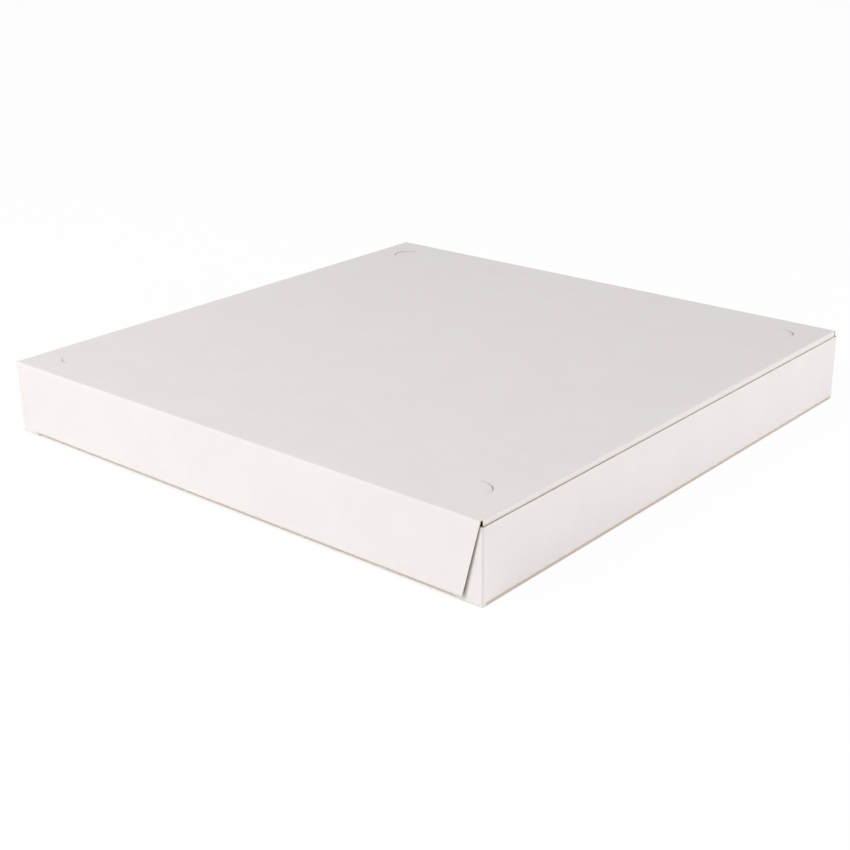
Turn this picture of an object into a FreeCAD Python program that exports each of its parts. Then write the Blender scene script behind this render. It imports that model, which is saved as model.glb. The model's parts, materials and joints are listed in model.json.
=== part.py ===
import FreeCAD, Part
import math
import os

os.makedirs("parts", exist_ok=True)

# A one-piece folded pizza box, closed and empty, in millimetres.
# X runs across the box, Y from the front flap to the hinge, Z up from the table.
# The origin is on the table, under the middle of the box.

# Overall size
box_width = 406.4
box_depth = 406.4
box_height = 50.8

# Board and its folds, by the radius of the outside of each fold
board = 0.6
base_fold_radius = 1.0
corner_fold_radius = 1.1
lid_fold_radius = 1.4

# Running gaps between panels that move past each other
hinge_gap = 0.2
flap_gap = 0.4
side_gap = 0.3
side_flap_setback = 0.6

# Tray: how far its side and front walls stop below the lid's face, and its glued corner tabs,
# which run level from the corner before they taper
wall_reveal = 3.8
tab_length = 42.0
tab_level = 16.0
tab_taper = 9.0
tab_lift = 0.3

# Front flap
front_flap_foot = 3.4
front_flap_taper = 11.5
front_flap_lean = 1.2
front_flap_corner_radius = 1.0
front_flap_inset = 0.3

# Side flaps of the lid, tucked inside the tray's side walls
side_flap_depth = 26.0
side_flap_taper = 12.0
side_flap_corner_radius = 5.0

# Crescent cuts in the lid
vent_radius = 11.0
vent_width = 0.4
vent_sweep = 200.0
vent_from_side = 30.3
vent_from_end = 31.5

# Places that follow from the sizes above
half_width = box_width / 2
half_depth = box_depth / 2
half_board = board / 2
lean = math.radians(front_flap_lean)
hinge_height = box_height - half_board
wall_height = box_height - wall_reveal
front_flap_length = (hinge_height - front_flap_foot - half_board * math.sin(lean)) / math.cos(lean)
front_hinge_y = -half_depth + half_board * math.cos(lean) + front_flap_length * math.sin(lean)
tab_front_y = front_hinge_y + half_board + flap_gap
wall_front_y = tab_front_y + board
wall_back_y = half_depth - board
back_hinge_y = wall_back_y - half_board
inner_half_width = half_width - board
lid_half_width = inner_half_width - side_gap
lid_back_y = back_hinge_y - half_board - hinge_gap
flap_half_width = lid_half_width - front_flap_inset
side_flap_front_y = wall_front_y + board + side_flap_setback

# Lengths closer than this count as the same
same = 1e-6


def block(x0, x1, y0, y1, z0, z1):
    return Part.makeBox(x1 - x0, y1 - y0, z1 - z0, FreeCAD.Vector(x0, y0, z0))


def edges_at_height(shape, height):
    return [edge for edge in shape.Edges if all(abs(v.Z - height) < same for v in edge.Vertexes)]


def edges_along(shape, direction, height=None):
    found = []
    for edge in shape.Edges:
        ends = [v.Point for v in edge.Vertexes]
        run = ends[1] - ends[0]
        level = height is None or all(abs(p.z - height) < same for p in ends)
        if level and run.cross(direction).Length < same:
            found.append(edge)
    return found


def prism(points, push):
    outline = [FreeCAD.Vector(*p) for p in points]
    return Part.Face(Part.makePolygon(outline + outline[:1])).extrude(push)


def fillet(shape, radius, picks):
    return shape.makeFillet(radius, picks)


def make_core():
    # Base and four walls, with rounded folds all round the base
    outside = block(-half_width, half_width, wall_front_y, wall_back_y, 0, wall_height)
    outside = fillet(outside, base_fold_radius, edges_at_height(outside, 0))
    inside = block(-inner_half_width, inner_half_width, wall_front_y + board, wall_back_y - board,
                   board, box_height)
    inside = fillet(inside, base_fold_radius - board, edges_at_height(inside, board))
    return outside.cut(inside)


def make_hinge_wall():
    # The back wall rises past the others to the fold that the lid turns on
    riser = block(-flap_half_width, flap_half_width, wall_back_y - board, wall_back_y,
                  wall_height, hinge_height)
    fold = Part.makeCylinder(half_board, 2 * flap_half_width,
                             FreeCAD.Vector(-flap_half_width, back_hinge_y, hinge_height),
                             FreeCAD.Vector(1, 0, 0))
    return riser.fuse(fold)


def make_tab(side, face_y, inward):
    # A corner tab: the end of a side wall, turned round the corner and glued over the front or back wall
    tip = side * (half_width - tab_length)
    bend = side * (half_width - tab_level)
    root = side * half_width
    outline = [(root, face_y, tab_lift), (root, face_y, wall_height), (bend, face_y, wall_height),
               (tip, face_y, wall_height - tab_taper), (tip, face_y, tab_lift + tab_taper),
               (bend, face_y, tab_lift)]
    return prism(outline, FreeCAD.Vector(0, inward * board, 0))


def make_tray():
    tray = make_core().fuse(make_hinge_wall())
    for side in (-1, 1):
        tray = tray.fuse(make_tab(side, tab_front_y, 1))
        tray = tray.fuse(make_tab(side, half_depth, -1))
    hull = block(-half_width, half_width, tab_front_y, half_depth, 0, box_height)
    hull = fillet(hull, corner_fold_radius, edges_along(hull, FreeCAD.Vector(0, 0, 1)))
    return tray.common(hull).removeSplitter()


def make_side_flap_outline(side):
    # The half of the lid on one side, cut to the side flap's outline, which tapers towards its free edge
    low = box_height - side_flap_depth
    front = side_flap_front_y
    back = lid_back_y
    outline = [(0, front, box_height), (0, front, wall_height), (0, front + side_flap_taper, low),
               (0, back - side_flap_taper, low), (0, back, wall_height), (0, back, box_height)]
    keep = prism(outline, FreeCAD.Vector(side * half_width, 0, 0))
    return fillet(keep, side_flap_corner_radius, edges_along(keep, FreeCAD.Vector(1, 0, 0), low))


def make_vent(side, end):
    # A crescent cut right through the lid, whose bow faces the nearer side
    margin = board
    centre = FreeCAD.Vector(side * (half_width - vent_from_side), end * (half_depth - vent_from_end),
                            box_height - board - margin)
    turn = FreeCAD.Vector(0, 0, 1)
    height = board + 2 * margin
    outer = Part.makeCylinder(vent_radius + vent_width / 2, height, centre, turn, vent_sweep)
    inner = Part.makeCylinder(vent_radius - vent_width / 2, height, centre, turn)
    ring = outer.cut(inner)
    middle = 0 if side > 0 else 180
    ring.rotate(centre, turn, middle - vent_sweep / 2)
    return ring


def make_lid():
    front = side_flap_front_y
    outside = block(-lid_half_width, lid_half_width, front, lid_back_y,
                    box_height - side_flap_depth, box_height)
    outside = fillet(outside, lid_fold_radius, edges_along(outside, FreeCAD.Vector(0, 1, 0), box_height))
    inside = block(-lid_half_width + board, lid_half_width - board, front, lid_back_y,
                   box_height - side_flap_depth, box_height - board)
    inside = fillet(inside, lid_fold_radius - board,
                     edges_along(inside, FreeCAD.Vector(0, 1, 0), box_height - board))
    lid = outside.cut(inside)
    lid = lid.common(make_side_flap_outline(-1).fuse(make_side_flap_outline(1)))
    strip = block(-flap_half_width, flap_half_width, front_hinge_y, front,
                  box_height - board, box_height)
    fold = Part.makeCylinder(half_board, 2 * flap_half_width,
                             FreeCAD.Vector(-flap_half_width, front_hinge_y, hinge_height),
                             FreeCAD.Vector(1, 0, 0))
    lid = lid.fuse(strip).fuse(fold)
    for side in (-1, 1):
        for end in (-1, 1):
            lid = lid.cut(make_vent(side, end))
    return lid.removeSplitter()


def make_front_flap():
    # Drawn hanging straight down from the fold, then leaned out to where it rests
    top = -half_board - hinge_gap
    low = -front_flap_length
    low_half_width = flap_half_width - front_flap_taper
    outline = [(-flap_half_width, -half_board, top), (flap_half_width, -half_board, top),
               (low_half_width, -half_board, low), (-low_half_width, -half_board, low)]
    flap = prism(outline, FreeCAD.Vector(0, board, 0))
    flap = fillet(flap, front_flap_corner_radius, edges_along(flap, FreeCAD.Vector(0, 1, 0), low))
    flap.rotate(FreeCAD.Vector(0, 0, 0), FreeCAD.Vector(1, 0, 0), -front_flap_lean)
    flap.translate(FreeCAD.Vector(0, front_hinge_y, hinge_height))
    return flap


pieces = {
    "tray": make_tray(),
    "lid": make_lid(),
    "front_flap": make_front_flap(),
}

for name, shape in pieces.items():
    shape.exportStep("parts/" + name + ".step")
    size = shape.BoundBox
    print(name, "solids", len(shape.Solids), "valid", shape.isValid(),
          "volume", round(shape.Volume, 1),
          "x", round(size.XMin, 2), round(size.XMax, 2),
          "y", round(size.YMin, 2), round(size.YMax, 2),
          "z", round(size.ZMin, 2), round(size.ZMax, 2))
print("front hinge", front_hinge_y, hinge_height, "back hinge", back_hinge_y, hinge_height)
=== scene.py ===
import json
import math
import bpy
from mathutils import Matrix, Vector
from mathutils.geometry import delaunay_2d_cdt


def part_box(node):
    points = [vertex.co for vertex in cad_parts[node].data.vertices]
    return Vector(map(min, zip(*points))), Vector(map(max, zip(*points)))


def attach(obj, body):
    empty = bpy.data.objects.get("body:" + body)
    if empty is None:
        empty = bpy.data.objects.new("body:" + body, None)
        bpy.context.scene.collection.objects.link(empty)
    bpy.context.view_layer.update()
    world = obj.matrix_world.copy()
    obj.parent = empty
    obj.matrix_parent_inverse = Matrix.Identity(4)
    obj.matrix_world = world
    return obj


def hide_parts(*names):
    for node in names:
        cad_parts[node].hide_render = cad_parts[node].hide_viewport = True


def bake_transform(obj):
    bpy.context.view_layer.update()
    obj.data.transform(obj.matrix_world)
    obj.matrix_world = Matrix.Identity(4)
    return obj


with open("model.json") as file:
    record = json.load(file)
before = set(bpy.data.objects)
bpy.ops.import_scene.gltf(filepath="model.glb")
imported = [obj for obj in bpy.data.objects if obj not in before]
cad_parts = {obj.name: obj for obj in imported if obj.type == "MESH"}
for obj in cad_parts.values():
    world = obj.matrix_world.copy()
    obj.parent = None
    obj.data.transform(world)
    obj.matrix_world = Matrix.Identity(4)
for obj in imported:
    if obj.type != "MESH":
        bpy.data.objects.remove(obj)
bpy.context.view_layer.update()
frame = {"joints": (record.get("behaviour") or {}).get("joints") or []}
mm = 0.001  # sizes below are in millimetres, the scene is in metres

# A folded pizza box: one flat blank is cut out, creased and folded up by geometry nodes.
# The blank lies with its white side down, and its x and y are kept as the attribute blankPlace.

bpy.context.scene.view_settings.view_transform = "Standard"


# Camera
cameraSetup = {
    "lens": 62.82,
    "sensorWidth": 36.0,
    "place": (633.77, -745.77, 380.26),
    "turn": (68.337, 0.719, 40.459),  # degrees about x, y and z
}


def makeCamera():
    data = bpy.data.cameras.new("photoCamera")
    data.sensor_width = cameraSetup["sensorWidth"]
    data.lens = cameraSetup["lens"]
    data.clip_start, data.clip_end = 0.05, 60.0
    camera = bpy.data.objects.new("photoCamera", data)
    camera.location = Vector(cameraSetup["place"]) * mm
    camera.rotation_euler = [math.radians(angle) for angle in cameraSetup["turn"]]
    bpy.context.scene.collection.objects.link(camera)
    bpy.context.scene.camera = camera


makeCamera()
print("camera placed")


# Node helpers
def newTree(name, kind, inputs, outputs):
    tree = bpy.data.node_groups.new(name, kind)
    for label, socketType, value in inputs:
        socket = tree.interface.new_socket(label, in_out="INPUT", socket_type=socketType)
        if value is not None:
            socket.default_value = value
    for label, socketType in outputs:
        tree.interface.new_socket(label, in_out="OUTPUT", socket_type=socketType)
    return tree, tree.nodes.new("NodeGroupInput").outputs, tree.nodes.new("NodeGroupOutput").inputs


def add(tree, kind, values=None, **settings):
    node = tree.nodes.new(kind)
    for key, value in settings.items():
        setattr(node, key, value)
    for key, value in (values or {}).items():
        if isinstance(value, bpy.types.NodeSocket):
            tree.links.new(value, node.inputs[key])
        else:
            node.inputs[key].default_value = value
    return node


def use(tree, group, values):
    kind = "GeometryNodeGroup" if tree.bl_idname == "GeometryNodeTree" else "ShaderNodeGroup"
    node = tree.nodes.new(kind)
    node.node_tree = group
    for key, value in values.items():
        if isinstance(value, bpy.types.NodeSocket):
            tree.links.new(value, node.inputs[key])
        else:
            node.inputs[key].default_value = value
    return node.outputs


def calc(tree, operation, *values):
    node = add(tree, "ShaderNodeMath", dict(enumerate(values)), operation=operation)
    return node.outputs[0]


def calcVector(tree, operation, a, b):
    key = "Scale" if operation == "SCALE" else 1
    node = add(tree, "ShaderNodeVectorMath", {0: a, key: b}, operation=operation)
    return node.outputs["Value" if operation == "DOT_PRODUCT" else "Vector"]


def ease(tree, value, low, high):
    sockets = {"Value": value, "From Min": low, "From Max": high}
    return add(tree, "ShaderNodeMapRange", sockets, interpolation_type="SMOOTHSTEP").outputs["Result"]


def joinXyz(tree, x, y, z):
    return add(tree, "ShaderNodeCombineXYZ", {"X": x, "Y": y, "Z": z}).outputs[0]


def splitXyz(tree, vector):
    return add(tree, "ShaderNodeSeparateXYZ", {"Vector": vector}).outputs


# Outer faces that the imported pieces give, in millimetres
trayLow, trayHigh = [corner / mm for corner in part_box("tray")]
lidLow, lidHigh = [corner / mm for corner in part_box("lid")]
flapLow, flapHigh = [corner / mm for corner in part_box("front_flap")]
turnPoint = {joint["name"]: Vector(joint["pos_m"]) / mm for joint in frame["joints"]}

board = {
    "thickness": 0.6,
    "cut": 0.2,  # what the die takes away between two neighbouring panels
    "gridStep": 12.5,
    "foldSteps": 8,
    "foldMargin": 0.5,
    "wave": 0.35,
    "waveSize": 130.0,
    "waveReach": 60.0,
}

tray = {
    "baseFold": 1.0,
    "tightFold": 0.75,  # the base fold is pinched at the glued corners
    "tightLength": 9.0,
    "cornerFold": 1.1,
    "wallHeight": 47.0,
    "tabLength": 42.0,
    "tabLevel": 16.0,
    "tabTaper": 9.0,
    "tabLift": 0.3,
    "footReach": 3.0,  # height over which the tabs' feet are drawn down
}

lid = {
    "hingeFold": 1.2,
    "sideFold": 1.4,
    "sideFlapDepth": 26.0,
    "sideFlapTaper": 12.0,
    "sideFlapCorner": 5.0,
    "sideFlapSetback": 0.2,
    "sideFlapBack": 0.7,
    "ventRadius": 11.0,
    "ventWidth": 0.5,
    "ventSweep": 220.0,
    "ventFromSide": 30.3,
    "ventFromEnd": 31.5,
    "tonguePress": 0.5,  # three tongues are pressed in, the front left one is lifted
    "tongueLift": 0.35,
}

flap = {
    "foldRadius": 0.9,
    "lean": 1.2,
    "footTaper": 11.5,
    "footCorner": 1.0,
}

panels = {
    "base": 0, "frontWall": 1,
    "rightWall": 2, "rightFrontTab": 3, "rightBackTab": 4,
    "leftWall": 5, "leftFrontTab": 6, "leftBackTab": 7,
    "backWall": 8, "hinge": 9,
    "lid": 10, "rightSideFlap": 11, "leftSideFlap": 12,
    "frontFold": 13, "frontFlap": 14, "slit": 99,
}

quarter = math.pi / 2


def layOut():
    # Where each panel starts and ends on the flat blank, worked out from the folded sizes
    flat = {}
    thickness = board["thickness"]
    top = lidHigh.z
    flat["wallFace"] = trayHigh.x
    flat["frontFace"] = trayLow.y + thickness
    flat["backFace"] = trayHigh.y - thickness
    flat["baseX"] = flat["wallFace"] - tray["baseFold"]
    flat["baseFront"] = flat["frontFace"] + tray["baseFold"]
    flat["baseBack"] = flat["backFace"] - tray["baseFold"]
    rise = quarter * tray["baseFold"] + tray["wallHeight"] - tray["baseFold"]
    flat["wallEdgeX"] = flat["baseX"] + rise
    flat["wallEdgeFront"] = flat["baseFront"] - rise
    flat["tabFront"] = trayLow.y + tray["cornerFold"]
    flat["tabBack"] = trayHigh.y - tray["cornerFold"]
    flat["tabReach"] = quarter * tray["cornerFold"] + tray["tabLength"] - tray["cornerFold"]
    flat["tabLevel"] = quarter * tray["cornerFold"] + tray["tabLevel"] - tray["cornerFold"]
    flat["tabFoot"] = flat["wallFace"] + (quarter - 1) * tray["tightFold"]
    backRise = quarter * tray["baseFold"] + top - lid["hingeFold"] - tray["baseFold"]
    flat["hingeStart"] = flat["baseBack"] + backRise
    flat["hingeEnd"] = flat["hingeStart"] + quarter * lid["hingeFold"]
    flat["lidBackY"] = flat["backFace"] - lid["hingeFold"]
    flat["lidX"] = lidHigh.x - lid["sideFold"]
    flat["lidEdgeX"] = flat["lidX"] + quarter * lid["sideFold"] + lid["sideFlapDepth"] - lid["sideFold"]
    lean = math.radians(flap["lean"])
    pivot = turnPoint["front_flap_fold"]
    facePoint = pivot + Vector((0, -math.cos(lean), math.sin(lean))) * thickness / 2
    along = (top - facePoint.z) / math.cos(lean)
    cornerY = facePoint.y + along * math.sin(lean)
    tangent = flap["foldRadius"] * math.tan((quarter - lean) / 2)
    flat["flapStart"] = flat["hingeEnd"] + flat["lidBackY"] - (cornerY + tangent)
    flat["flapEnd"] = flat["flapStart"] + flap["foldRadius"] * (quarter - lean)
    length = (pivot.z - flapLow.z - thickness / 2 * math.sin(lean)) / math.cos(lean)
    flat["flapFoot"] = flat["flapEnd"] + length + along - tangent
    flat["flapX"] = flapHigh.x
    return flat


flat = layOut()


def lidFlatY(y):
    # The place on the blank of a point of the closed lid
    return flat["hingeEnd"] + flat["lidBackY"] - y


def roundCorners(points, radii, steps=6):
    rounded = []
    for i, point in enumerate(points):
        here = Vector(point)
        radius = radii.get(i, 0)
        if not radius:
            rounded.append(point)
            continue
        toLast = (Vector(points[i - 1]) - here).normalized()
        toNext = (Vector(points[(i + 1) % len(points)]) - here).normalized()
        half = toLast.angle(toNext) / 2
        centre = here + (toLast + toNext).normalized() * radius / math.sin(half)
        start = here + toLast * radius / math.tan(half) - centre
        turn = (here + toNext * radius / math.tan(half) - centre).angle_signed(start)
        for k in range(steps + 1):
            angle = turn * k / steps
            spot = centre + Vector((start.x * math.cos(angle) - start.y * math.sin(angle),
                                    start.x * math.sin(angle) + start.y * math.cos(angle)))
            rounded.append(tuple(spot))
    return rounded


def box2d(x0, y0, x1, y1):
    return [(x0, y0), (x1, y0), (x1, y1), (x0, y1)]


def sidePanels(side):
    # The wall, its glued corner tabs and the lid's side flap on one side of the blank
    word = "right" if side > 0 else "left"
    top = flat["wallEdgeX"]
    made = {word + "Wall": box2d(flat["baseX"], flat["tabFront"], top, flat["tabBack"])}
    for end, crease, outwards in (("Front", flat["tabFront"], -1), ("Back", flat["tabBack"], 1)):
        tip = crease + outwards * flat["tabReach"]
        bend = crease + outwards * flat["tabLevel"]
        foot = flat["tabFoot"]
        made[word + end + "Tab"] = [
            (foot, crease), (foot, bend), (foot + tray["tabTaper"], tip),
            (top - tray["tabTaper"], tip), (top, bend), (top, crease)]
    back = lidFlatY(flat["lidBackY"] - lid["sideFlapBack"])
    front = lidFlatY(flat["frontFace"] + board["thickness"] + lid["sideFlapSetback"])
    edge = flat["lidEdgeX"]
    straight = edge - (lid["sideFlapDepth"] - (lidHigh.z - tray["wallHeight"]))
    taper = lid["sideFlapTaper"]
    outline = [(flat["lidX"], back), (straight, back), (edge, back + taper),
               (edge, front - taper), (straight, front), (flat["lidX"], front)]
    corner = lid["sideFlapCorner"]
    made[word + "SideFlap"] = roundCorners(outline, {2: corner, 3: corner})
    return {name: [(side * x, y) for x, y in points] for name, points in made.items()}


def middlePanels():
    made = {"base": box2d(-flat["baseX"], flat["baseFront"], flat["baseX"], flat["baseBack"])}
    wallX = flat["baseX"] - board["cut"]
    made["frontWall"] = box2d(-wallX, flat["wallEdgeFront"], wallX, flat["baseFront"])
    margin = board["foldMargin"]
    hingeLow, hingeHigh = flat["hingeStart"] - margin, flat["hingeEnd"] + margin
    foldLow, foldHigh = flat["flapStart"] - margin, flat["flapEnd"] + margin
    made["backWall"] = box2d(-wallX, flat["baseBack"], wallX, hingeLow)
    made["hinge"] = box2d(-wallX, hingeLow, wallX, hingeHigh)
    lidX, flapX = flat["lidX"], flat["flapX"]
    front = lidFlatY(flat["frontFace"] + board["thickness"] + lid["sideFlapSetback"])
    made["lid"] = [(-lidX, hingeHigh), (lidX, hingeHigh), (lidX, front), (flapX, front),
                   (flapX, foldLow), (-flapX, foldLow), (-flapX, front), (-lidX, front)]
    made["frontFold"] = box2d(-flapX, foldLow, flapX, foldHigh)
    foot = flapX - flap["footTaper"]
    made["frontFlap"] = roundCorners(
        [(-flapX, foldHigh), (flapX, foldHigh), (foot, flat["flapFoot"]), (-foot, flat["flapFoot"])],
        {2: flap["footCorner"], 3: flap["footCorner"]})
    return made


def ventCentres():
    x = flat["wallFace"] - lid["ventFromSide"]
    y = trayHigh.y - lid["ventFromEnd"]
    return [(side * x, lidFlatY(end * y), side) for side in (-1, 1) for end in (-1, 1)]


def slitOutlines():
    outlines = []
    half = math.radians(lid["ventSweep"] / 2)
    steps = 36
    for x, y, side in ventCentres():
        ring = []
        for way in (1, -1):
            for k in range(steps + 1):
                share = 2 * k / steps - 1
                angle = way * half * share
                gape = lid["ventWidth"] * (1 - 0.92 * share ** 2)  # the cut closes towards its ends
                radius = lid["ventRadius"] + way * gape / 2
                ring.append((x + side * radius * math.cos(angle), y + radius * math.sin(angle)))
        outlines.append(ring)
    return outlines


def foldLines():
    # Lines of vertices across each fold, so that it bends in small steps
    lines = []
    margin, steps = board["foldMargin"], board["foldSteps"]

    def across(start, length, low, high, vertical):
        for k in range(-1, steps + 2):
            place = start + length * min(max(k, 0), steps) / steps
            if k < 0 or k > steps:
                place += math.copysign(margin, (k - 0.5) * length)
            lines.append(((place, low), (place, high)) if vertical else ((low, place), (high, place)))

    baseFold = quarter * tray["baseFold"]
    cornerFold = quarter * tray["cornerFold"]
    sideFold = quarter * lid["sideFold"]
    wallX, tabX, flapX = flat["baseX"] - board["cut"], flat["wallEdgeX"], flat["flapX"]
    lidFront, lidBack = lidFlatY(lidLow.y), lidFlatY(lidHigh.y)
    for side in (-1, 1):
        across(side * flat["baseX"], side * baseFold, flat["tabFront"], flat["tabBack"], True)
        across(side * flat["lidX"], side * sideFold, lidBack, lidFront, True)
        for crease, outwards in ((flat["tabFront"], -1), (flat["tabBack"], 1)):
            across(crease, outwards * cornerFold, side * flat["baseX"], side * tabX, False)
    across(flat["baseFront"], -baseFold, -wallX, wallX, False)
    across(flat["baseBack"], baseFold, -wallX, wallX, False)
    for start, end in (("hingeStart", "hingeEnd"), ("flapStart", "flapEnd")):
        across(flat[start], flat[end] - flat[start], -flapX, flapX, False)
    return lines


def loosePoints():
    # A grid for the board's waviness, rings for the vents' tongues and steps along the pinched folds
    points = []
    step = board["gridStep"]
    columns = int(2 * flat["wallEdgeX"] / step) + 1
    rows = int((flat["flapFoot"] - flat["wallEdgeFront"]) / step) + 1
    for i in range(columns):
        for j in range(rows):
            points.append((step * (i - (columns - 1) / 2), flat["wallEdgeFront"] + step * (j + 0.37)))
    for x, y, side in ventCentres():
        for share in (0.2, 0.4, 0.6, 0.8, 0.94, 1.12, 1.3):
            radius = share * lid["ventRadius"]
            count = int(10 + 22 * share)
            for k in range(count):
                angle = 2 * math.pi * k / count
                points.append((x + radius * math.cos(angle), y + radius * math.sin(angle)))
    foldLength = quarter * tray["baseFold"]
    for side in (-1, 1):
        for k in range(1, int(tray["tightLength"]) + 1):
            for y in (flat["tabFront"] + k, flat["tabBack"] - k):
                for i in range(board["foldSteps"] + 1):
                    points.append((side * (flat["baseX"] + foldLength * i / board["foldSteps"]), y))
    return points


def creaseDistance(x, y):
    # Distance on the blank to the nearest crease, which keeps the board straight there
    found = [abs(y - flat[name]) for name in ("baseFront", "baseBack", "hingeStart", "flapStart")]
    found.append(abs(abs(x) - flat["baseX"]))
    return min(found)


def cutBlank():
    vertices, faces, numbers = [], [], []

    def loop(points):
        first = len(vertices)
        vertices.extend(Vector(point) for point in points)
        return list(range(first, len(vertices)))

    def outline(points, number):
        area = sum(a[0] * b[1] - b[0] * a[1] for a, b in zip(points, points[1:] + points[:1]))
        faces.append(loop(points if area > 0 else points[::-1]))
        numbers.append(number)

    for name, points in {**middlePanels(), **sidePanels(1), **sidePanels(-1)}.items():
        outline(points, panels[name])
    for points in slitOutlines():
        outline(points, panels["slit"])
    edges = [tuple(loop(line)) for line in foldLines()]
    loop(loosePoints())
    points, _, triangles, _, _, owners = delaunay_2d_cdt(vertices, edges, faces, 1, 1e-4, True)
    kept, panelOf = [], []
    for triangle, owner in zip(triangles, owners):
        found = [numbers[i] for i in owner]
        if found and panels["slit"] not in found:
            kept.append(triangle)
            panelOf.append(max(found))
    used = sorted({i for triangle in kept for i in triangle})
    order = {old: new for new, old in enumerate(used)}
    reach = [0.0] * len(used)
    for triangle, number in zip(kept, panelOf):
        for i in triangle:
            reach[order[i]] = max(reach[order[i]], float(number))
    mesh = bpy.data.meshes.new("blank")
    places = [(points[i].x * mm, points[i].y * mm, 0.0) for i in used]
    mesh.from_pydata(places, [], [[order[i] for i in reversed(t)] for t in kept])
    slack = [min(1.0, creaseDistance(points[i].x, points[i].y) / board["waveReach"]) ** 2 for i in used]
    panelNumbers = [float(number) for number in panelOf]
    for name, domain, values in (("facePanel", "FACE", panelNumbers), ("pointPanel", "POINT", reach),
                                 ("slack", "POINT", slack)):
        mesh.attributes.new(name, "FLOAT", domain).data.foreach_set("value", values)
    return mesh


blankMesh = cutBlank()
print("blank cut out:", len(blankMesh.vertices), "vertices,", len(blankMesh.polygons), "faces")


# Geometry nodes that fold the blank
def named(tree, name):
    node = add(tree, "GeometryNodeInputNamedAttribute", {"Name": name}, data_type="FLOAT")
    return node.outputs["Attribute"]


def between(tree, value, low, high):
    above = calc(tree, "GREATER_THAN", value, calc(tree, "SUBTRACT", low, 0.5))
    below = calc(tree, "LESS_THAN", value, calc(tree, "ADD", high, 0.5))
    return calc(tree, "MULTIPLY", above, below)


def makeFoldGroup():
    # Rolls the chosen panels up along a crease: an arc of the given radius, then straight on
    tree, given, result = newTree("foldAlongCrease", "GeometryNodeTree", [
        ("Geometry", "NodeSocketGeometry", None),
        ("First Panel", "NodeSocketFloat", 0.0), ("Last Panel", "NodeSocketFloat", 0.0),
        ("Crease", "NodeSocketVector", None), ("Across", "NodeSocketVector", None),
        ("Angle", "NodeSocketFloat", quarter), ("Radius", "NodeSocketFloat", 0.001),
    ], [("Geometry", "NodeSocketGeometry")])
    place = add(tree, "GeometryNodeInputPosition").outputs[0]
    height = splitXyz(tree, place)["Z"]
    radius, angle, acrossAxis = given["Radius"], given["Angle"], given["Across"]
    fromCrease = calcVector(tree, "SUBTRACT", place, given["Crease"])
    run = calcVector(tree, "DOT_PRODUCT", fromCrease, acrossAxis)
    arc = calc(tree, "MULTIPLY", radius, angle)
    share = add(tree, "ShaderNodeClamp", {"Value": calc(tree, "DIVIDE", run, arc)}).outputs[0]
    turned = calc(tree, "MULTIPLY", share, angle)
    straight = calc(tree, "SUBTRACT", run, calc(tree, "MULTIPLY", share, arc))
    arm = calc(tree, "SUBTRACT", radius, height)
    sine, cosine = calc(tree, "SINE", turned), calc(tree, "COSINE", turned)
    newRun = calc(tree, "MULTIPLY_ADD", arm, sine, calc(tree, "MULTIPLY", straight, cosine))
    straightRise = calc(tree, "MULTIPLY", straight, sine)
    drop = calc(tree, "SUBTRACT", calc(tree, "MULTIPLY", arm, cosine), straightRise)
    newHeight = calc(tree, "SUBTRACT", radius, drop)
    shift = calcVector(tree, "SCALE", acrossAxis, calc(tree, "SUBTRACT", newRun, run))
    lift = joinXyz(tree, 0.0, 0.0, calc(tree, "SUBTRACT", newHeight, height))
    chosen = between(tree, named(tree, "pointPanel"), given["First Panel"], given["Last Panel"])
    moved = add(tree, "GeometryNodeSetPosition", {
        "Geometry": given["Geometry"], "Selection": chosen,
        "Offset": calcVector(tree, "ADD", shift, lift)})
    tree.links.new(moved.outputs[0], result["Geometry"])
    return tree


def makeTongueGroup():
    # Presses the tongue inside one crescent slit out of the board, or into it
    tree, given, result = newTree("pressTongue", "GeometryNodeTree", [
        ("Geometry", "NodeSocketGeometry", None), ("Centre", "NodeSocketVector", None),
        ("Facing", "NodeSocketFloat", 1.0), ("Radius", "NodeSocketFloat", 0.01),
        ("Lift", "NodeSocketFloat", 0.0),
    ], [("Geometry", "NodeSocketGeometry")])
    place = add(tree, "GeometryNodeInputPosition").outputs[0]
    offset = splitXyz(tree, calcVector(tree, "SUBTRACT", place, given["Centre"]))
    x, y = offset["X"], offset["Y"]
    distance = calc(tree, "SQRT", calc(tree, "MULTIPLY_ADD", x, x, calc(tree, "MULTIPLY", y, y)))
    inside = calc(tree, "LESS_THAN", distance, given["Radius"])
    along = calc(tree, "DIVIDE", calc(tree, "MULTIPLY", x, given["Facing"]), given["Radius"])
    amount = calc(tree, "MULTIPLY", ease(tree, along, -0.5, 1.0), given["Lift"])
    moved = add(tree, "GeometryNodeSetPosition", {
        "Geometry": given["Geometry"], "Selection": inside,
        "Offset": joinXyz(tree, 0.0, 0.0, calc(tree, "MULTIPLY", amount, -1.0))})
    tree.links.new(moved.outputs[0], result["Geometry"])
    return tree


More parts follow.
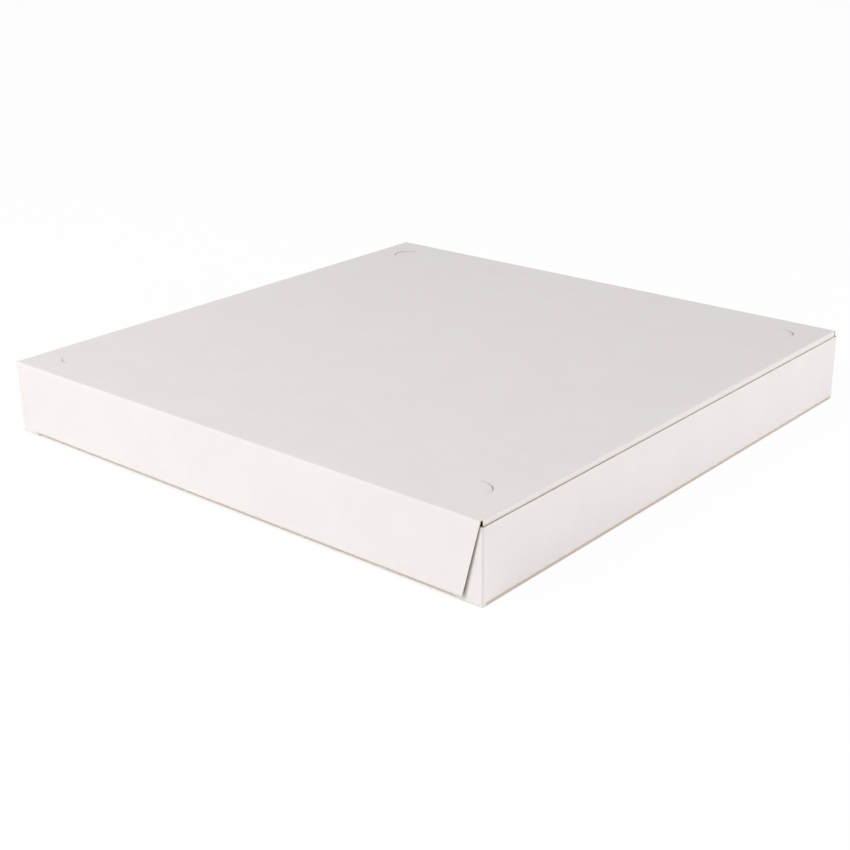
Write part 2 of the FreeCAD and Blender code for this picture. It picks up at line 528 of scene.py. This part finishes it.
def makeThicknessGroup():
    # Thickens the folded skin inwards, and gives the brown side and the cut edge their finishes
    tree, given, result = newTree("boardThickness", "GeometryNodeTree", [
        ("Geometry", "NodeSocketGeometry", None), ("Thickness", "NodeSocketFloat", 0.0006),
        ("Inside", "NodeSocketMaterial", None), ("Edge", "NodeSocketMaterial", None),
    ], [("Geometry", "NodeSocketGeometry")])
    inwards = calc(tree, "MULTIPLY", given["Thickness"], -1.0)
    shell = add(tree, "GeometryNodeExtrudeMesh", {
        "Mesh": given["Geometry"], "Offset Scale": inwards, "Individual": False}, mode="FACES")
    top, rim = shell.outputs["Top"], shell.outputs["Side"]
    finish = add(tree, "GeometryNodeSetMaterial", {
        "Geometry": shell.outputs["Mesh"], "Selection": top, "Material": given["Inside"]})
    finish = add(tree, "GeometryNodeSetMaterial", {
        "Geometry": finish.outputs[0], "Selection": rim, "Material": given["Edge"]})
    flipped = add(tree, "GeometryNodeFlipFaces", {"Mesh": finish.outputs[0]})
    skin = add(tree, "GeometryNodeStoreNamedAttribute", {
        "Geometry": given["Geometry"], "Name": "whiteSide", "Value": 1.0},
        data_type="FLOAT", domain="FACE")
    joined = add(tree, "GeometryNodeJoinGeometry")
    tree.links.new(flipped.outputs[0], joined.inputs[0])
    tree.links.new(skin.outputs[0], joined.inputs[0])
    merged = add(tree, "GeometryNodeMergeByDistance", {"Geometry": joined.outputs[0], "Distance": 2e-6})
    tree.links.new(merged.outputs[0], result["Geometry"])
    return tree


def makeBoxTree():
    number = "NodeSocketFloat"
    tree, given, result = newTree("foldedBox", "GeometryNodeTree", [
        ("Geometry", "NodeSocketGeometry", None),
        ("Keep From", number, 0.0), ("Keep To", number, 14.0), ("Thickness", number, 0.0006),
        ("Wall Face", number, 0.2032), ("Base Fold", number, 0.001),
        ("Tight Fold", number, 0.00075), ("Tight Length", number, 0.009),
        ("Base Front", number, -0.1996), ("Base Back", number, 0.2016),
        ("Tab Front", number, -0.2001), ("Tab Back", number, 0.2021), ("Corner Fold", number, 0.0011),
        ("Foot Drop", number, 0.0004), ("Foot Reach", number, 0.003),
        ("Hinge Start", number, 0.2518), ("Hinge Fold", number, 0.0012),
        ("Lid Crease", number, 0.2009), ("Side Fold", number, 0.0014),
        ("Flap Start", number, 0.6564), ("Flap Fold", number, 0.0009), ("Flap Angle", number, quarter),
        ("Wave", number, 0.0), ("Wave Size", number, 0.13), ("Vent Radius", number, 0.011),
        ("Tongue Press", number, 0.0), ("Tongue Lift", number, 0.0),
        ("Outside", "NodeSocketMaterial", None), ("Inside", "NodeSocketMaterial", None),
        ("Edge", "NodeSocketMaterial", None),
    ], [("Geometry", "NodeSocketGeometry")])
    place = add(tree, "GeometryNodeInputPosition").outputs[0]
    chosen = between(tree, named(tree, "facePanel"), given["Keep From"], given["Keep To"])
    kept = add(tree, "GeometryNodeSeparateGeometry", {
        "Geometry": given["Geometry"], "Selection": chosen}, domain="FACE")
    stored = add(tree, "GeometryNodeStoreNamedAttribute", {
        "Geometry": kept.outputs["Selection"], "Name": "blankPlace", "Value": place},
        data_type="FLOAT_VECTOR", domain="POINT")
    noise = add(tree, "ShaderNodeTexNoise", {
        "Vector": place, "Scale": calc(tree, "DIVIDE", 1.0, given["Wave Size"]), "Detail": 1.0})
    freedom = calc(tree, "MULTIPLY", given["Wave"], named(tree, "slack"))
    swell = calc(tree, "MULTIPLY", noise.outputs[0], freedom)
    waved = add(tree, "GeometryNodeSetPosition", {
        "Geometry": stored.outputs[0], "Offset": joinXyz(tree, 0.0, 0.0, swell)})
    shape = waved.outputs[0]
    pressed = calc(tree, "MULTIPLY", given["Tongue Press"], -1.0)
    halfPressed = calc(tree, "MULTIPLY", given["Tongue Press"], -0.5)
    frontRow = max(y for x, y, side in ventCentres())
    for x, y, side in ventCentres():
        leftLift = given["Tongue Lift"] if y == frontRow else halfPressed
        shape = use(tree, tongueGroup, {
            "Geometry": shape, "Centre": (x * mm, y * mm, 0.0), "Facing": float(side),
            "Radius": given["Vent Radius"], "Lift": pressed if side > 0 else leftLift})[0]

    def fold(shape, first, last, crease, across, radius, angle=quarter):
        return use(tree, foldGroup, {
            "Geometry": shape, "First Panel": float(panels[first]), "Last Panel": float(panels[last]),
            "Crease": crease, "Across": across, "Angle": angle, "Radius": radius})[0]

    def alongX(y):
        return joinXyz(tree, 0.0, y, 0.0)

    def alongY(x, side):
        return joinXyz(tree, calc(tree, "MULTIPLY", x, float(side)), 0.0, 0.0)

    forwards, backwards = (0.0, -1.0, 0.0), (0.0, 1.0, 0.0)
    shape = fold(shape, "frontFold", "frontFlap", alongX(given["Flap Start"]), backwards,
                 given["Flap Fold"], given["Flap Angle"])
    placeParts = splitXyz(tree, place)
    placeY, placeZ = placeParts["Y"], placeParts["Z"]
    toEnd = calc(tree, "MINIMUM", calc(tree, "SUBTRACT", placeY, given["Tab Front"]),
                 calc(tree, "SUBTRACT", given["Tab Back"], placeY))
    opening = ease(tree, toEnd, 0.0, given["Tight Length"])
    spread = calc(tree, "SUBTRACT", given["Base Fold"], given["Tight Fold"])
    wallRadius = calc(tree, "MULTIPLY_ADD", opening, spread, given["Tight Fold"])
    wallCrease = calc(tree, "SUBTRACT", given["Wall Face"], wallRadius)
    for side, word in ((1, "right"), (-1, "left")):
        outwards = (float(side), 0.0, 0.0)
        shape = fold(shape, word + "SideFlap", word + "SideFlap", alongY(given["Lid Crease"], side),
                     outwards, given["Side Fold"])
        shape = fold(shape, word + "FrontTab", word + "FrontTab", alongX(given["Tab Front"]),
                     forwards, given["Corner Fold"])
        shape = fold(shape, word + "BackTab", word + "BackTab", alongX(given["Tab Back"]),
                     backwards, given["Corner Fold"])
        shape = fold(shape, word + "Wall", word + "BackTab", alongY(wallCrease, side), outwards, wallRadius)
        aboveFoot = calc(tree, "SUBTRACT", placeZ, given["Tight Fold"])
        toFoot = calc(tree, "DIVIDE", aboveFoot, given["Foot Reach"])
        share = calc(tree, "SUBTRACT", ease(tree, toFoot, 0.0, 1.0), 1.0)
        drop = calc(tree, "MULTIPLY", share, given["Foot Drop"])
        onTab = between(tree, named(tree, "pointPanel"), float(panels[word + "FrontTab"]),
                        float(panels[word + "BackTab"]))
        shape = add(tree, "GeometryNodeSetPosition", {
            "Geometry": shape, "Selection": onTab, "Offset": joinXyz(tree, 0.0, 0.0, drop)}).outputs[0]
    for first, last, crease, across, radius in (
            ("hinge", "frontFlap", "Hinge Start", backwards, "Hinge Fold"),
            ("backWall", "frontFlap", "Base Back", backwards, "Base Fold"),
            ("frontWall", "frontWall", "Base Front", forwards, "Base Fold")):
        shape = fold(shape, first, last, alongX(given[crease]), across, given[radius])
    solid = use(tree, thicknessGroup, {
        "Geometry": shape, "Thickness": given["Thickness"],
        "Inside": given["Inside"], "Edge": given["Edge"]})[0]
    realized = add(tree, "GeometryNodeRealizeInstances", {"Geometry": solid})
    whiteSide = calc(tree, "GREATER_THAN", named(tree, "whiteSide"), 0.5)
    coated = add(tree, "GeometryNodeSetMaterial", {
        "Geometry": realized.outputs[0], "Selection": whiteSide, "Material": given["Outside"]})
    tree.links.new(coated.outputs[0], result["Geometry"])
    return tree


foldGroup = makeFoldGroup()
tongueGroup = makeTongueGroup()
thicknessGroup = makeThicknessGroup()
boxTree = makeBoxTree()
print("folding tree built")


# Finishes
coatedLook = {
    "patch": 34.0,
    "fine": 3.2,
    "fibre": 1.6,
    "base": (0.818, 0.782, 0.772, 1.0),
    "shade": (0.802, 0.762, 0.750, 1.0),
    "footShadeTint": (0.55, 0.445, 0.35, 1.0),
    "footShadeTintFront": (0.80, 0.67, 0.56, 1.0),  # painted shade under the front flap's overhang, lighter because the flap's own shadow already falls there
    "footShadeStrength": 0.8,
    "footShadeHeight": 2.2,
    "footShadeRagged": 0.9,  # how far its upper edge wanders
    "footShadeSoft": 0.6,
    "footShadeCorner": 3.0,  # the painted foot shade fades out this near to a corner
    "gapShade": (0.16, 0.115, 0.085, 1.0),  # painted shade, dark brown, in the narrow gaps between panels
    "gapShadeReach": 5.0,
    "gapShadeFull": 0.30,  # share of open sky at which the painted gap shade is full, and at which it is gone
    "gapShadeGone": 0.40,
    "specular": 0.35,
    "roughness": 0.55,
    "bump": 0.05,
}
kraftLook = {
    "base": (0.50, 0.355, 0.225, 1.0),
    "dark": (0.44, 0.305, 0.19, 1.0),
    "fleck": (0.23, 0.14, 0.08, 1.0),
    "patch": 14.0,
    "fine": 1.8,
    "fibre": 2.4,
    "specular": 0.2,
    "roughness": 0.85,
    "bump": 0.12,
}
edgeLook = {
    "base": (0.72, 0.61, 0.51, 1.0),
    "dark": (0.52, 0.42, 0.32, 1.0),
    "patch": 6.0,
    "fine": 0.5,
    "specular": 0.15,
    "roughness": 0.9,
}


def makeCloudGroup():
    # Uneven formation of the board: broad soft patches with finer mottling on them
    tree, given, result = newTree("boardClouds", "ShaderNodeTree", [
        ("Place", "NodeSocketVector", None), ("Patch Size", "NodeSocketFloat", 0.03),
        ("Fine Size", "NodeSocketFloat", 0.003),
    ], [("Tone", "NodeSocketFloat")])
    broad = add(tree, "ShaderNodeTexNoise", {
        "Vector": given["Place"], "Scale": calc(tree, "DIVIDE", 1.0, given["Patch Size"]),
        "Detail": 3.0, "Roughness": 0.55})
    fine = add(tree, "ShaderNodeTexNoise", {
        "Vector": given["Place"], "Scale": calc(tree, "DIVIDE", 1.0, given["Fine Size"]),
        "Detail": 2.0})
    broadShare = calc(tree, "MULTIPLY", broad.outputs[0], 0.65)
    mixed = calc(tree, "MULTIPLY_ADD", fine.outputs[0], 0.35, broadShare)
    tree.links.new(ease(tree, mixed, 0.36, 0.64), result["Tone"])
    return tree


def makeFibreGroup():
    # Paper fibres: short wisps that lie all ways, as height and as a fleck mask
    tree, given, result = newTree("paperFibres", "ShaderNodeTree", [
        ("Place", "NodeSocketVector", None), ("Length", "NodeSocketFloat", 0.002),
    ], [("Height", "NodeSocketFloat"), ("Fleck", "NodeSocketFloat")])
    wander = add(tree, "ShaderNodeTexNoise", {
        "Vector": given["Place"], "Scale": calc(tree, "DIVIDE", 0.6, given["Length"]), "Detail": 1.0})
    bent = calcVector(tree, "ADD", given["Place"], calcVector(
        tree, "SCALE", wander.outputs["Color"], calc(tree, "MULTIPLY", given["Length"], 1.4)))
    layers = []
    for turn in (0.35, 1.45, 2.5):
        mapping = add(tree, "ShaderNodeMapping", {
            "Vector": bent, "Rotation": (0.0, 0.0, turn), "Scale": (1.0, 7.0, 7.0)})
        wisp = add(tree, "ShaderNodeTexNoise", {
            "Vector": mapping.outputs[0], "Scale": calc(tree, "DIVIDE", 1.0, given["Length"]),
            "Detail": 1.0})
        layers.append(wisp.outputs[0])
    strongest = calc(tree, "MAXIMUM", calc(tree, "MAXIMUM", layers[0], layers[1]), layers[2])
    tree.links.new(strongest, result["Height"])
    tree.links.new(ease(tree, strongest, 0.66, 0.74), result["Fleck"])
    return tree


cloudGroup = makeCloudGroup()
fibreGroup = makeFibreGroup()


def startMaterial(name):
    material = bpy.data.materials.new(name)
    material.use_nodes = True
    tree = material.node_tree
    shader = next(node for node in tree.nodes if node.bl_idname == "ShaderNodeBsdfPrincipled")
    place = add(tree, "ShaderNodeAttribute", attribute_name="blankPlace").outputs["Vector"]
    return material, tree, shader, place


def mixColours(tree, factor, a, b):
    node = add(tree, "ShaderNodeMix", {"Factor": factor}, data_type="RGBA")
    for key, value in (("A", a), ("B", b)):
        socket = next(s for s in node.inputs if s.name == key and s.type == "RGBA")
        if isinstance(value, bpy.types.NodeSocket):
            tree.links.new(value, socket)
        else:
            socket.default_value = value
    return next(s for s in node.outputs if s.type == "RGBA")


def clouded(tree, place, look):
    # The cloud mask at one finish's own patch sizes
    return use(tree, cloudGroup, {
        "Place": place, "Patch Size": look["patch"] * mm, "Fine Size": look["fine"] * mm})["Tone"]


def addBump(tree, shader, height, strength, distance):
    bump = add(tree, "ShaderNodeBump", {"Height": height, "Strength": strength, "Distance": distance})
    tree.links.new(bump.outputs[0], shader.inputs["Normal"])


def makeCoated():
    # White clay coat: nearly even, faintly cloudy, with a painted tan shade band along the walls' feet and
    # painted dark shade in the gaps between panels
    material, tree, shader, place = startMaterial("whiteCoat")
    look = coatedLook
    clouds = clouded(tree, place, look)
    fibres = use(tree, fibreGroup, {"Place": place, "Length": look["fibre"] * mm})
    colour = mixColours(tree, clouds, look["shade"], look["base"])
    here = add(tree, "ShaderNodeTexCoord").outputs["Object"]
    height = splitXyz(tree, here)["Z"]
    # Painted shade: a tan band along the foot of each wall, where the base fold turns under and where the
    # front flap overhangs; roughness also rises there
    raggedness = add(tree, "ShaderNodeTexNoise", {"Vector": place, "Scale": 160.0, "Detail": 3.0})
    lowest = look["footShadeHeight"] - look["footShadeRagged"] / 2
    limit = calc(tree, "MULTIPLY_ADD", raggedness.outputs[0], look["footShadeRagged"] * mm, lowest * mm)
    soft = look["footShadeSoft"] * mm
    footShadeMask = ease(tree, calc(tree, "SUBTRACT", limit, height), -soft, soft)
    along = splitXyz(tree, place)["Y"]
    toCorner = calc(tree, "MINIMUM", calc(tree, "SUBTRACT", along, flat["tabFront"] * mm),
                    calc(tree, "SUBTRACT", flat["tabBack"] * mm, along))
    onWall = ease(tree, toCorner, 0.0, look["footShadeCorner"] * mm)
    across = calc(tree, "ABSOLUTE", splitXyz(tree, place)["X"])
    onFront = calc(tree, "LESS_THAN", across, flat["baseX"] * mm)
    footShadeMask = calc(tree, "MULTIPLY", footShadeMask, calc(tree, "MAXIMUM", onWall, onFront))
    footShadeColour = mixColours(tree, onFront, look["footShadeTint"], look["footShadeTintFront"])
    colour = mixColours(tree, calc(tree, "MULTIPLY", footShadeMask, look["footShadeStrength"]), colour, footShadeColour)
    # Painted shade: the colour turns dark where ambient occlusion finds a narrow gap, such as beside the
    # front flap's slanted edge
    shelter = add(tree, "ShaderNodeAmbientOcclusion", {"Distance": look["gapShadeReach"] * mm}, samples=12)
    openSky = ease(tree, shelter.outputs["AO"], look["gapShadeFull"], look["gapShadeGone"])
    buried = calc(tree, "SUBTRACT", 1.0, openSky)
    gapShade = calc(tree, "MULTIPLY", buried, ease(tree, height, 1.0 * mm, 5.0 * mm))
    colour = mixColours(tree, gapShade, colour, look["gapShade"])
    tree.links.new(colour, shader.inputs["Base Color"])
    rough = calc(tree, "MULTIPLY_ADD", clouds, 0.08, look["roughness"])
    tree.links.new(calc(tree, "MULTIPLY_ADD", footShadeMask, 0.2, rough), shader.inputs["Roughness"])
    shader.inputs["Specular IOR Level"].default_value = look["specular"]
    addBump(tree, shader, fibres["Height"], look["bump"], 0.1 * mm)
    return material


def makeKraft():
    # Bare brown side: mottled, with darker fibres
    material, tree, shader, place = startMaterial("kraftSide")
    look = kraftLook
    clouds = clouded(tree, place, look)
    fibres = use(tree, fibreGroup, {"Place": place, "Length": look["fibre"] * mm})
    colour = mixColours(tree, clouds, look["dark"], look["base"])
    colour = mixColours(tree, calc(tree, "MULTIPLY", fibres["Fleck"], 0.45), colour, look["fleck"])
    tree.links.new(colour, shader.inputs["Base Color"])
    rough = calc(tree, "MULTIPLY_ADD", clouds, 0.1, look["roughness"])
    tree.links.new(rough, shader.inputs["Roughness"])
    shader.inputs["Specular IOR Level"].default_value = look["specular"]
    addBump(tree, shader, fibres["Height"], look["bump"], 0.15 * mm)
    return material


def makeRawEdge():
    # Cut edge of the board, tan with darker plies
    material, tree, shader, place = startMaterial("rawEdge")
    here = add(tree, "ShaderNodeTexCoord").outputs["Object"]
    clouds = clouded(tree, here, edgeLook)
    colour = mixColours(tree, clouds, edgeLook["dark"], edgeLook["base"])
    tree.links.new(colour, shader.inputs["Base Color"])
    shader.inputs["Roughness"].default_value = edgeLook["roughness"]
    shader.inputs["Specular IOR Level"].default_value = edgeLook["specular"]
    addBump(tree, shader, clouds, 0.2, 0.1 * mm)
    return material


whiteCoat, kraftSide, rawEdge = makeCoated(), makeKraft(), makeRawEdge()
print("finishes mixed")


# Folded pieces
def treeValues():
    lengths = {
        "Thickness": board["thickness"],
        "Wall Face": flat["wallFace"],
        "Base Fold": tray["baseFold"],
        "Tight Fold": tray["tightFold"],
        "Tight Length": tray["tightLength"],
        "Base Front": flat["baseFront"],
        "Base Back": flat["baseBack"],
        "Tab Front": flat["tabFront"],
        "Tab Back": flat["tabBack"],
        "Corner Fold": tray["cornerFold"],
        "Foot Drop": tray["tightFold"] - tray["tabLift"],
        "Foot Reach": tray["footReach"],
        "Hinge Start": flat["hingeStart"],
        "Hinge Fold": lid["hingeFold"],
        "Lid Crease": flat["lidX"],
        "Side Fold": lid["sideFold"],
        "Flap Start": flat["flapStart"],
        "Flap Fold": flap["foldRadius"],
        "Wave": board["wave"],
        "Wave Size": board["waveSize"],
        "Vent Radius": lid["ventRadius"],
        "Tongue Press": lid["tonguePress"],
        "Tongue Lift": lid["tongueLift"],
    }
    values = {name: length * mm for name, length in lengths.items()}
    values["Flap Angle"] = quarter - math.radians(flap["lean"])
    values.update({"Outside": whiteCoat, "Inside": kraftSide, "Edge": rawEdge})
    return values


def foldPiece(name, first, last):
    source = bpy.data.objects.new(name + "Flat", blankMesh)
    bpy.context.scene.collection.objects.link(source)
    modifier = source.modifiers.new("fold", "NODES")
    modifier.node_group = boxTree
    values = dict(treeValues(), **{"Keep From": float(panels[first]), "Keep To": float(panels[last])})
    for item in boxTree.interface.items_tree:
        if item.in_out == "INPUT" and item.name in values:
            modifier[item.identifier] = values[item.name]
    graph = bpy.context.evaluated_depsgraph_get()
    mesh = bpy.data.meshes.new_from_object(source.evaluated_get(graph), depsgraph=graph)
    source.modifiers.remove(modifier)
    bpy.data.objects.remove(source)
    mesh.name = name
    mesh.polygons.foreach_set("use_smooth", [True] * len(mesh.polygons))
    mesh.set_sharp_from_angle(angle=math.radians(35))
    piece = bpy.data.objects.new(name, mesh)
    bpy.context.scene.collection.objects.link(piece)
    print(name, "folded:", len(mesh.polygons), "faces")
    return piece


traySheet = foldPiece("tray_sheet", "base", "backWall")
lidSheet = foldPiece("lid_sheet", "lid", "leftSideFlap")
flapSheet = foldPiece("front_flap_sheet", "frontFlap", "frontFlap")
hingeStrip = foldPiece("lid_hinge_crease", "hinge", "hinge")
frontStrip = foldPiece("front_flap_crease", "frontFold", "frontFold")

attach(traySheet, "tray")
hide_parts("tray")
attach(lidSheet, "lid")
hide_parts("lid")
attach(flapSheet, "front_flap")
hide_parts("front_flap")


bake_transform(hingeStrip)
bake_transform(frontStrip)
print("pieces ride on their bodies")


# Floor and light
floorLook = {
    "size": 14.0,
    "colour": (0.93, 0.93, 0.93, 1.0),
    "white": 0.96,  # share of plain white that the camera and reflections see
    "contactReach": 0.008,  # nearer than this to the object the white gives way to its shadow
}
lightRig = {
    "sky": 0.46,
    "key": {"place": (-0.593, -1.629, 1.354), "size": 1.0, "power": 27.8},
    "side": {"place": (1.95, 0.909, 0.457), "size": 1.0, "power": 19.8},
}


def seenDirectly(tree):
    path = add(tree, "ShaderNodeLightPath").outputs
    seen = calc(tree, "MAXIMUM", path["Is Camera Ray"], path["Is Glossy Ray"])
    return calc(tree, "MAXIMUM", seen, path["Is Transmission Ray"])


def makeFloor():
    half = floorLook["size"] / 2
    mesh = bpy.data.meshes.new("floor")
    corners = [(-half, -half, 0), (half, -half, 0), (half, half, 0), (-half, half, 0)]
    mesh.from_pydata(corners, [], [(0, 1, 2, 3)])
    floor = bpy.data.objects.new("floor", mesh)
    bpy.context.scene.collection.objects.link(floor)
    material = bpy.data.materials.new("paleFloor")
    material.use_nodes = True
    tree = material.node_tree
    shader = next(node for node in tree.nodes if node.bl_idname == "ShaderNodeBsdfPrincipled")
    shader.inputs["Base Color"].default_value = floorLook["colour"]
    shader.inputs["Roughness"].default_value = 0.9
    shader.inputs["Specular IOR Level"].default_value = 0.0
    glow = add(tree, "ShaderNodeEmission", {"Color": (1, 1, 1, 1), "Strength": 1.0})
    nearby = add(tree, "ShaderNodeAmbientOcclusion", {"Distance": floorLook["contactReach"]}, samples=12)
    white = calc(tree, "MULTIPLY", ease(tree, nearby.outputs["AO"], 0.2, 0.5), floorLook["white"])
    share = calc(tree, "MULTIPLY", seenDirectly(tree), white)
    mixed = add(tree, "ShaderNodeMixShader", {0: share, 1: shader.outputs[0], 2: glow.outputs[0]})
    output = next(node for node in tree.nodes if node.bl_idname == "ShaderNodeOutputMaterial")
    tree.links.new(mixed.outputs[0], output.inputs["Surface"])
    mesh.materials.append(material)


def makeSky():
    world = bpy.data.worlds.new("studio")
    world.use_nodes = True
    tree = world.node_tree
    background = next(node for node in tree.nodes if node.bl_idname == "ShaderNodeBackground")
    background.inputs["Color"].default_value = (1, 1, 1, 1)
    strength = calc(tree, "MULTIPLY_ADD", seenDirectly(tree), 1.0 - lightRig["sky"], lightRig["sky"])
    tree.links.new(strength, background.inputs["Strength"])
    bpy.context.scene.world = world


def makeLamp(name):
    setup = lightRig[name]
    data = bpy.data.lights.new(name, "AREA")
    data.shape = "DISK"
    data.size = setup["size"]
    data.energy = setup["power"]
    lamp = bpy.data.objects.new(name, data)
    lamp.location = setup["place"]
    lamp.rotation_euler = (-Vector(setup["place"])).to_track_quat("-Z", "Y").to_euler()
    bpy.context.scene.collection.objects.link(lamp)


makeFloor()
makeSky()
makeLamp("key")
makeLamp("side")
print("floor and lights placed")
